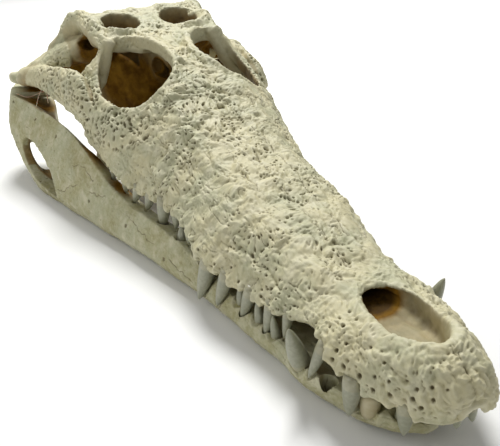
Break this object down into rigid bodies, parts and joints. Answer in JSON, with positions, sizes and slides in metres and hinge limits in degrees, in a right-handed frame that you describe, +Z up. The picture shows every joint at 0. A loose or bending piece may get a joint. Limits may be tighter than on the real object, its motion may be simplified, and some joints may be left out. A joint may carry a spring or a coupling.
{
  "type": "crocodile skull",
  "caption": "Life-size crocodile skull with closed jaws, a broad tapering snout, pitted face, open eye sockets and a separate two-part lower jaw.",
  "frame": {"origin": "middle of the bounding box's base, on the floor under the middle of the skull's length", "axes": "+Y backward along the skull from the snout tip to the jaw joints, +X to the animal's left, +Z up, with the skull resting on its lower jaw"},
  "size_m": [0.2242, 0.4696, 0.1305],
  "materials": {
    "pitted_bone": "dry pale ivory bone, pitted and wrinkled, matt",
    "jaw_bone": "dry olive-beige bone, finely grooved, matt"
  },
  "bodies": {
    "root": {"cranium": "pitted_bone", "mandible_left": "jaw_bone", "mandible_right": "jaw_bone"}
  },
  "joints": []
}
